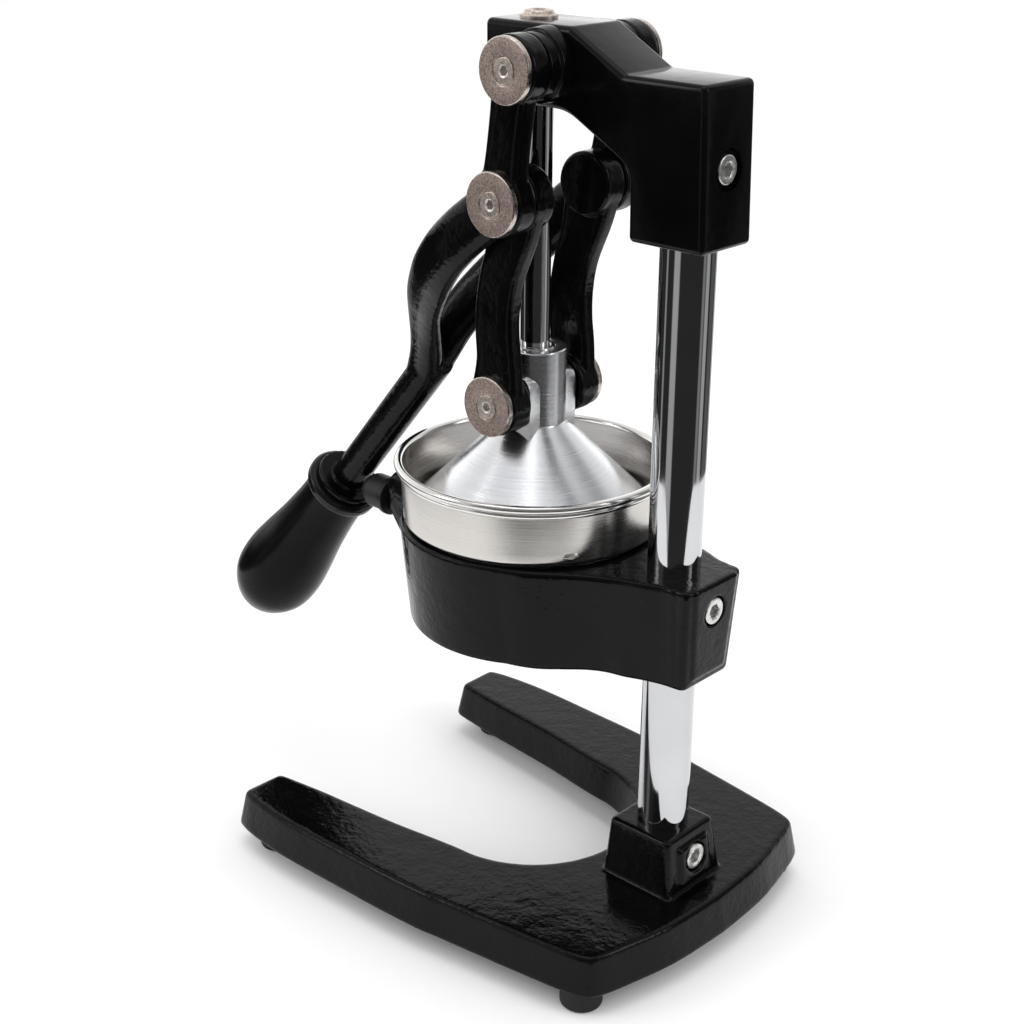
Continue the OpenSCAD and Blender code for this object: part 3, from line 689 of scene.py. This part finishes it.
def weld_mark():
    """A small flattened nub on the bowl's wall. It has no CAD node of its own."""
    wall_r = 63.9
    z = 169.2
    turn = math.radians(58)
    flatness = 0.55
    out = Vector((math.cos(turn), math.sin(turn), 0))
    verts, faces, bands = revolve(
        rounded([(0, -0.9), (4.3, -0.9, 0.2), (3.9, 0.25, 0.8), (1.8, 0.95, 0.8), (0, 0.95)]),
        (wall_r * out.x, PRESS_Y + wall_r * out.y, z), out, 48,
    )
    verts = [Vector((v.x, v.y, z + (v.z - z) * flatness)) for v in verts]
    dress(plain("bowl_weld_mark", [(verts, faces, bands)]), "bowl", [], [STEEL_BOWL])


def funnel():
    spout = rounded([
        (46, 164.3), (46, 163.2, 0.5), (43.4, 162.6, 0.5), (40, 152, 4), (28, 134), (17, 118, 6),
        (13, 111, 6), (13, 88, 0.4), (12, 88, 0.4), (12, 111.3, 6), (16.2, 118.8, 6), (27, 134.8),
        (38.9, 152.4, 4), (42.2, 163, 0.5), (43, 164.3),
    ])
    part = revolve(spout, PRESS_AXIS, UP, 128, loop=True)
    dress(plain("funnel_spout", [part]), "bowl", ["funnel"], [STEEL_BOWL])


def strainer():
    profile = rounded([
        (0, 197.9), (4, 197, 3), (9, 194, 4), (22, 184, 6), (33, 173.5, 3), (38.5, 168.8, 2), (42, 166.9, 2),
        (47, 166.6, 0.4), (47, 165.5), (41.6, 165.5, 1), (37.4, 167.6, 2), (31.9, 172.5, 3), (21, 182.9, 6),
        (8, 193, 4), (3.4, 195.7, 2), (0, 196.6),
    ])
    holes = []
    for r, turn in ((20, 0), (29, 15)):
        for i in range(12):
            a = math.radians(30 * i + turn)
            place = (r * math.cos(a), PRESS_Y + r * math.sin(a), 168)
            holes.append(revolve([(0, 0), (1.9, 0), (1.9, 24), (0, 24)], place, UP, 20))
    obj = plain("strainer_cone_sheet", [revolve(profile, PRESS_AXIS, UP, 144)])
    take_out(obj, holes)
    shade(obj, 32)
    dress(obj, "bowl", ["strainer_cone"], [STEEL_BOWL])


# ---------------------------------------------------------------- head


def bevelled(name, parts, width, segments, angle):
    """A piece with every edge sharper than the angle rounded to the width."""
    obj = add(name, to_mesh(name, parts)[0])
    b = obj.modifiers.new("round_edges", "BEVEL")
    b.width = width / 1000
    b.segments = segments
    b.limit_method = "ANGLE"
    b.angle_limit = math.radians(angle)
    bake_modifiers(obj)
    shade(obj, 45)
    return obj


def prism(profile, x0, x1):
    """A closed (y, z) outline drawn out from x0 to x1."""
    n = len(profile)
    verts = [Vector((x, y, z)) for x in (x0, x1) for y, z in profile]
    faces = [tuple(range(n)), tuple(range(n, 2 * n))]
    faces += [(i, (i + 1) % n, n + (i + 1) % n, n + i) for i in range(n)]
    return verts, faces, [0] * len(faces)


def head():
    # Outline of the side as (y, z) or (y, z, radius), from the tip's underside round to its top
    points = [
        (-104.5, 367.5), (-57, 367.5, 26), (-36, 356, 26), (-20.6, 347, 9), (-20, 316),
        (20.3, 316), (18, 386), (-24.5, 386, 5), (-55, HEAD_TOP, 5), (-104.5, HEAD_TOP),
    ]
    obj = bevelled("head_body", [prism(rounded(points, 6), -17.5, 17.5)], 2.7, 6, 32)
    take_out(obj, [bolt_recess(HEAD_BOLT, 9, 12, 72)])
    shade(obj, 38)
    boss_profile = rounded([
        (0, 16), (16.6, 16), (16.6, 18, 1.2), (16, 24.4, 1.4), (14.7, 24.8, 0.8), (14.7, 30.7, 0.8),
        (0, 30.7),
    ])
    boss = revolve(boss_profile, (0, *PIVOT_A), ACROSS, 96)
    bosses = plain("head_bosses", [boss, mirrored(boss)])
    dress(obj, "stand", ["head"], [ENAMEL_HEAD])
    dress(bosses, "stand", [], [ENAMEL_HEAD])


def rod_screw():
    cap = rounded([
        (0, 0.02), (8.6, 0.02), (8.6, 1.2, 0.4), (7.2, 1.6, 0.5), (6.5, 3.0, 1.2), (5.0, 3.4, 0.5),
        (3.5, 3.4),
    ])
    hexagon = [(3.2, 3.2, "hex"), (3.1, 1.8, "hex"), (0, 1.5)]
    part = revolve(cap + hexagon, (0, PRESS_Y, HEAD_TOP), UP, 96)
    dress(plain("rod_screw_cap", [part]), "stand", ["rod_screw"], [SCREW])


# ---------------------------------------------------------------- washers, pins and screws


def washer(x0, x1, pivot):
    thick = x1 - x0
    profile = rounded([
        (0, 0), (14.5, 0, 0.4), (14.5, thick - 0.5, 0.15), (14.05, thick, 0.15), (6.4, thick, 0.25),
        (6.1, thick - 0.6, 0.2), (0, thick - 0.6),
    ], 3)
    return revolve(profile, (x0, *pivot), ACROSS, 128)


def screw(x1, pivot):
    """A screw whose last three bands are its hexagon socket."""
    head_profile = rounded([
        (0, -2), (3, -2), (5.7, -0.6, 0.1), (5.7, 0.5, 0.3), (2.9, 0.5, 0.1), (2.7, 0.4),
    ])
    hexagon = [(2.5, 0.3, "hex"), (2.3, -0.6, "hex"), (0, -0.9)]
    return revolve(head_profile + hexagon, (x1, *pivot), ACROSS, 96)


def front_bands(part, x1):
    """Bands of a washer that make its flat front face at x1."""
    verts, faces, bands = part
    centre = verts[faces[0][0]]
    front = set()
    for face, band in zip(faces, bands):
        xs = [verts[i].x for i in face]
        rs = [math.hypot(verts[i].y - centre.y, verts[i].z - centre.z) for i in face]
        if min(xs) > x1 - 0.02 and max(rs) - min(rs) > 3:
            front.add(band)
    return front


def washer_set(body, sides, x0, x1, pivot, washers, screws, pins):
    """Washers and screws of one pivot, on side 1, side -1 or both. The pins keep their CAD shape."""
    disc = washer(x0, x1, pivot)
    cap = screw(x1 - 0.45, pivot)
    obj = plain(washers + "_turned", [disc if k > 0 else mirrored(disc) for k in sides])
    edge = set(obj["bands"]) - front_bands(disc, x1)
    dress(obj, body, [washers], [WASHER, WASHER_EDGE], edge)
    obj = plain(screws + "_turned", [cap if k > 0 else mirrored(cap) for k in sides])
    last = max(obj["bands"])
    # The socket's three bands take the near-white painted highlight instead of the screw's own steel
    dress(obj, body, [screws], [SCREW, HEX_SOCKET_PAINTED_HIGHLIGHT], range(last - 2, last + 1))
    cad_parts[pins].data.materials.clear()
    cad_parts[pins].data.materials.append(SCREW)


# ---------------------------------------------------------------- press cone


def press():
    cone_profile = rounded([
        (9.6, 209), (14, 208), (54.0, 171.4), (56.6, 171.0, 0.8), (59, 171.6, 0.8), (58.6, 172.8, 0.8),
        (15.2, 215.5, 1.6), (15.2, 252, 0.9), (9.7, 252, 0.3), (9.7, 209),
    ])
    cone = plain("press_cone_body", [revolve(cone_profile, PRESS_AXIS, UP, 192)], 30)
    dress(cone, "press", ["press_cone"], [ALUMINIUM])
    half = 12
    low, high = 206, 241
    side = rounded([
        (PRESS_Y + half, low), (PRESS_Y + half, high, 8), (PRESS_Y - half, high, 8), (PRESS_Y - half, low),
    ], 12)
    ears = bevelled("press_cone_ears", [prism(side, 7, 16.6), prism(side, -16.6, -7)], 0.5, 3, 40)
    dress(ears, "press", [], [ALUMINIUM])
    bore = 7.15
    bush_profile = rounded([(bore, 209), (9.6, 209), (9.6, 252.6, 0.4), (bore, 252.6, 0.4), (bore, 230)])
    bush = revolve(bush_profile, PRESS_AXIS, UP, 96, loop=True)
    dress(plain("hub_bush_turned", [bush]), "press", ["hub_bush"], [STEEL_RIM])


# ---------------------------------------------------------------- lever and links


def eye(faces, pivot, r):
    """The round boss of an arm at a pivot, between its two faces."""
    x0, x1 = faces
    return revolve(rounded([(0, x0), (r, x0, 1.4), (r, x1, 1.4), (0, x1)], 4), (0, *pivot), ACROSS, 72)


def lever():
    # One arm from the middle pivot down to the shaft: how far along, x, half-width, how far off, half-depth
    along = Vector((0, -0.643, -0.766))
    off_line = Vector((0, -0.766, 0.643))
    rows = spline([
        (-4, ARM_X, 5.6, -1, 12.6), (8, ARM_X, ARM_HALF, 2.2, 13), (25, ARM_X, ARM_HALF, 6.6, 12.8),
        (38, 36.2, 5.9, 8.8, 12.8), (50, 34.8, 5.8, 10.2, 12.7), (65, 31.2, 5.8, 11, 12.8),
        (80, 25.3, 5.9, 11.3, 12.4), (90, 20.8, 6, 11, 12), (99, 16, 6.2, 9.8, 11.7),
        (110, 10.2, 6.8, 7, 11.2), (120, 6.2, 6.9, 3.4, 10.6), (130, 3.4, 6.8, 0.4, 9.9),
        (142, 1, 6.4, -1.7, 9),
    ], 4)
    arm = loft([
        section(Vector((x, *PIVOT_B)) + along * s + off_line * off, (half, 0, 0), off_line * deep, 28, 0.8)
        for s, x, half, off, deep in rows
    ])
    # The limb between the two pivots: how far down, half-width
    limb_rows = spline([
        (0, 10.4), (8, 10.2), (18, 9.7), (30, 9.6), (42, 9.9), (52, 11), (58.6, 12),
    ], 4)
    down = Vector((0, PIVOT_B[0] - PIVOT_A[0], PIVOT_B[1] - PIVOT_A[1])).normalized()
    wide = Vector((0, -down.z, down.y))
    limb = loft([
        section(Vector((ARM_X, *PIVOT_A)) + down * s, (ARM_HALF, 0, 0), wide * w, 28, 0.4)
        for s, w in limb_rows
    ])
    parts = []
    for part in (arm, limb, eye(LEVER_X, PIVOT_A, EYE_R), eye(LEVER_X, PIVOT_B, EYE_R + 0.5)):
        parts += [part, mirrored(part)]
    shaft = rounded([(0, -14), (9.6, -14), (9.6, 92.5), (17.2, 92.5, 0.8), (17.2, 96.5, 0.8), (0, 96.5)])
    parts.append(revolve(shaft, SHAFT, SHAFT_DIR, 72))
    dress(fused("lever_casting", parts, 0.7, 9), "lever", ["lever"], [ENAMEL])


def grip():
    ring_profile = rounded([
        (0, 96.5), (19, 96.5, 0.8), (20.6, 98.2, 1.4), (20.6, 102.2, 1.8), (18.6, 104, 0.8), (0, 104),
    ])
    ring = plain("grip_ring", [revolve(ring_profile, SHAFT, SHAFT_DIR, 128)])
    dress(ring, "lever", ["grip_ferrule"], [FERRULE])
    curve = spline([
        (17.2, 104), (17.3, 106), (17.4, 112), (18, 125), (19.9, 145), (22.7, 165), (24.5, 182), (23.9, 197),
        (20, 208), (14.6, 216), (7.6, 222), (0, 224),
    ], 6)
    profile = [(0, 104.05)] + [(max(r, 0), h) for r, h in curve[:-1]] + [(0, 224)]
    handle = plain("grip_handle", [revolve(profile, SHAFT, SHAFT_DIR, 144)])
    dress(handle, "lever", ["grip", "grip_stud"], [GRIP])


def links():
    # The web's front and back edges, as (y, z) from the upper pivot down to the lower one
    front = spline([
        (-90.2, 326.5), (-92.6, 306), (-96.4, 292), (-99, 278), (-99.6, 263), (-98.9, 250), (-101.6, 237),
    ], 6)
    back = spline([
        (-60.4, 326.5), (-66, 309), (-73.9, 290), (-76.6, 276), (-76.8, 263), (-75.2, 250), (-74.2, 234),
    ], 6)
    rings = []
    for f, b in zip(front, back):
        a, c = Vector((0, *f)), Vector((0, *b))
        rings.append(section((a + c) / 2 + Vector((25.9, 0, 0)), (4.5, 0, 0), (a - c) / 2, 28, 0.35))
    parts = [loft(rings), eye(LINK_X, PIVOT_B, EYE_R), eye(LINK_X, PIVOT_C, EYE_R)]
    for body, k in (("link_left", 1), ("link_right", -1)):
        obj = fused(body + "_casting", [p if k > 0 else mirrored(p) for p in parts], 0.6, 7)
        dress(obj, body, [body], [ENAMEL])
        washer_set(body, (k,), LINK_X[1], 33.8, PIVOT_C, body + "_washer", body + "_screw", body + "_pin")


foot()
rubber_feet()
column_and_rod()
socket_bolts()
holder()
bumper()
bowl()
funnel()
strainer()
head()
rod_screw()
press()
lever()
grip()
links()
both = (1, -1)
washer_set("stand", both, 42.6, WASHER_X, PIVOT_A, "head_washers", "head_pin_screws", "head_pins")
washer_set("lever", both, LEVER_X[1], WASHER_X, PIVOT_B, "lever_washers", "lever_pin_screws", "lever_pins")

# ---------------------------------------------------------------- studio


def area(name, place, aim, size, watts):
    light = bpy.data.lights.new(name, "AREA")
    light.shape = "RECTANGLE"
    light.size, light.size_y = size
    light.energy = watts
    obj = add(name, light)
    obj.location = place
    obj.rotation_euler = (Vector(aim) - Vector(place)).to_track_quat("-Z", "Y").to_euler()


def flat(name, ring, z, material):
    """A level sheet with the given outline, in metres."""
    mesh = bpy.data.meshes.new(name)
    mesh.from_pydata([(x, y, z) for x, y in ring], [], [tuple(range(len(ring)))])
    mesh.materials.append(material)
    return add(name, mesh)


def table_edge(deg):
    """Edge of the table that reflections see, in metres: nearest to the column on the room's dark side."""
    dark_side = 42.5
    near, further = 0.38, 0.27
    away = abs((deg - dark_side + 180) % 360 - 180)
    k = min(max((away - 18) / 47, 0), 1)
    r = near + further * k * k * (3 - 2 * k)
    return r * math.cos(math.radians(deg)), COLUMN_Y / 1000 + r * math.sin(math.radians(deg))


# Upright strip lights below eye level: middle and half-width in degrees round the part, and brightness
STRIP_LIGHTS = (
    (-138, 38, 0.5), (-50, 2, 0.35), (-5, 10, 0.45), (108, 4, 0.25), (127, 7, 0.45), (160, 12, 0.12),
)
STRIP_EDGE = 4
ROOM_LEVEL = 0.03
# Backdrop above eye level: degrees round the part, and brightness
BACKDROP = (
    (-178, 1.15), (-160, 1.6), (-90, 1.6), (-72, 1.2), (-36, 1.1), (-30, 0.9), (-12, 0.9), (-6, 0.25),
    (92, 0.2), (98, 0.55), (112, 0.55), (118, 0.2), (150, 0.3), (162, 1.15),
)


def soft_strip(middle, half, level):
    """Stops of one strip light, with a soft edge on both sides."""
    left, right = middle - half, middle + half
    return [(left - STRIP_EDGE, ROOM_LEVEL), (left, level), (right, level), (right + STRIP_EDGE, ROOM_LEVEL)]


def room_light(w):
    """What reflections see: a dark room with upright strip lights below eye level, a white backdrop behind
    the part and a soft ceiling."""
    split = w.new("ShaderNodeSeparateXYZ")
    w.link(w.new("ShaderNodeTexCoord").outputs["Generated"], split.inputs[0])
    x, y, z = split.outputs
    turn = w.math("ADD", w.math("DIVIDE", w.math("ARCTAN2", y, x), 2 * math.pi), 0.5)

    def band(stops):
        ramp = w.new("ShaderNodeValToRGB")
        w.link(turn, ramp.inputs[0])
        rows = ramp.color_ramp.elements
        for k, (deg, level) in enumerate(stops):
            e = rows[k] if k < 2 else rows.new(0.999)
            e.position = (deg + 180) / 360
            e.color = (level, level, level, 1)
        return ramp.outputs[0]

    def step(low_edge, high_edge):
        n = w.new("ShaderNodeMapRange", interpolation_type="SMOOTHSTEP")
        w.link(z, n.inputs["Value"])
        n.inputs["From Min"].default_value = low_edge
        n.inputs["From Max"].default_value = high_edge
        return n.outputs["Result"]

    low = band([stop for strip in STRIP_LIGHTS for stop in soft_strip(*strip)])
    room = w.mix(step(-0.05, 0.03), low, band(BACKDROP))
    room = w.mix(w.math("MULTIPLY", step(0.1, 0.4), 0.32), room, (0, 0, 0))
    return w.mix(step(0.55, 0.85), room, (0.72, 0.72, 0.73))


def studio():
    world = bpy.data.worlds.new("studio")
    bpy.context.scene.world = world
    world.use_nodes = True
    w = Tree(world.node_tree)
    w.tree.nodes.clear()
    # Cameras and diffuse light see plain white; only reflections see the room
    path = w.new("ShaderNodeLightPath")
    back = w.new("ShaderNodeBackground")
    w.link(w.mix(path.outputs["Is Glossy Ray"], (1.04, 1.04, 1.04), room_light(w)), back.inputs[0])
    w.link(back.outputs[0], w.new("ShaderNodeOutputWorld").inputs[0])

    pale = Nodes("pale_floor").set((0.955, 0.955, 0.955), 0.0, 1.0, Specular_IOR_Level=0.0)
    near = flat("table", [table_edge(deg) for deg in range(0, 360, 3)], 0.0, pale)
    far = flat("floor", [(-9, -9), (9, -9), (9, 9), (-9, 9)], -0.0004, pale)
    far.visible_glossy = False

    area("overhead", (0.1, 0.0, 1.9), (0, 0, 0.1), (1.2, 1.2), 5)
    area("left", (1.3, -0.9, 1.1), (0, 0, 0.2), (0.4, 0.9), 4)
    area("right", (-0.6, 1.6, 1.1), (0, 0, 0.2), (0.4, 0.9), 4)
    bpy.context.scene.view_settings.view_transform = "Standard"


def camera():
    """The photo's view: from behind the column, off to the +X side and above."""
    azimuth, elevation, roll = (math.radians(a) for a in (132.543, 22.306, 0.415))
    place = (592.9, 442.1, 492.4)
    cam = bpy.data.cameras.new("photo_view")
    cam.sensor_width = 36
    cam.lens = 61.1754
    cam.clip_start, cam.clip_end = 0.05, 50
    obj = add("photo_view", cam)
    level = math.cos(elevation)
    back = Vector((math.sin(azimuth) * level, -math.cos(azimuth) * level, math.sin(elevation)))
    right = Matrix.Rotation(roll, 3, back) @ Vector((math.cos(azimuth), math.sin(azimuth), 0))
    pose = Matrix((right, back.cross(right), back)).transposed().to_4x4()
    pose.translation = pt(place)
    obj.matrix_world = pose
    bpy.context.scene.camera = obj


studio()
camera()
